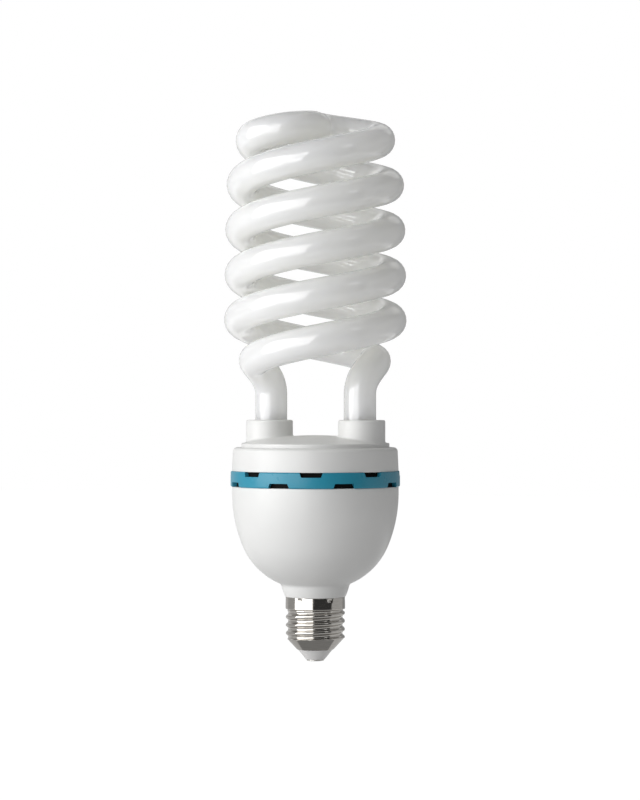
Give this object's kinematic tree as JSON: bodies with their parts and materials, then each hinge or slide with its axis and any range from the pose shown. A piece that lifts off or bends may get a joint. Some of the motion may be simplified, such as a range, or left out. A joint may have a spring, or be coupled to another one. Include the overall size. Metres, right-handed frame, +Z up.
{
  "type": "spiral energy saving bulb",
  "caption": "Compact fluorescent lamp with a double-spiral glass tube, a bowl-shaped plastic ballast housing with a coloured vent ring, and a screw cap.",
  "frame": {"origin": "centre of the flat face of the cap's end contact", "axes": "+Z up the lamp's axis from the end contact to the top of the spiral; the tube's two straight legs stand on the X axis, left and right of the middle"},
  "size_m": [0.081, 0.0814, 0.2451],
  "materials": {
    "cap_nickel": "nickel plated, polished",
    "cap_insulator": "pale grey moulded insulator",
    "contact_metal": "tin plated",
    "solder": "dull solder",
    "housing_white": "satin white moulding",
    "ring_blue": "satin blue moulding",
    "cover_white": "satin white moulding",
    "tube_glass": "clear glass coated white inside, polished outside",
    "cement": "cast lamp cement",
    "board_laminate": "paper laminate",
    "tinned_pin": "tinned",
    "filament_wire": "nickel wire",
    "capacitor_sleeve": "shrunk sleeve",
    "ferrite": "sintered ferrite",
    "bobbin_plastic": "moulded phenolic",
    "copper_winding": "enamelled copper",
    "transistor_epoxy": "moulded epoxy with a metal tab",
    "film_red": "dipped epoxy",
    "film_yellow": "boxed film capacitor",
    "ceramic_blue": "dipped ceramic disc",
    "thermistor_green": "dipped disc",
    "toroid_ferrite": "coated ferrite",
    "drive_wire": "insulated wire",
    "shrink_sleeve": "shrunk sleeve",
    "diode_epoxy": "moulded epoxy",
    "resistor_film": "lacquered film resistor",
    "fuse_ceramic": "cement coated",
    "live_insulation": "insulated wire",
    "neutral_insulation": "insulated wire"
  },
  "bodies": {
    "root": {"screw_shell": "cap_nickel", "cap_insulator": "cap_insulator", "centre_contact": "contact_metal", "contact_solder": "solder", "lower_housing": "housing_white", "vent_ring": "ring_blue", "top_cover": "cover_white", "spiral_tube": "tube_glass", "tube_cement": "cement", "ballast_board": "board_laminate", "wire_posts": "tinned_pin", "filament_leads": "filament_wire", "electrolytic_capacitor": "capacitor_sleeve", "choke_core": "ferrite", "choke_bobbin": "bobbin_plastic", "choke_winding": "copper_winding", "power_transistors": "transistor_epoxy", "resonant_capacitor": "film_red", "filter_capacitor": "film_yellow", "start_capacitor": "ceramic_blue", "thermistor": "thermistor_green", "drive_toroid": "toroid_ferrite", "drive_windings": "drive_wire", "filter_choke": "shrink_sleeve", "rectifier_diodes": "diode_epoxy", "board_resistors": "resistor_film", "fuse_resistor": "fuse_ceramic", "live_wire": "live_insulation", "neutral_wire": "neutral_insulation"}
  },
  "joints": []
}
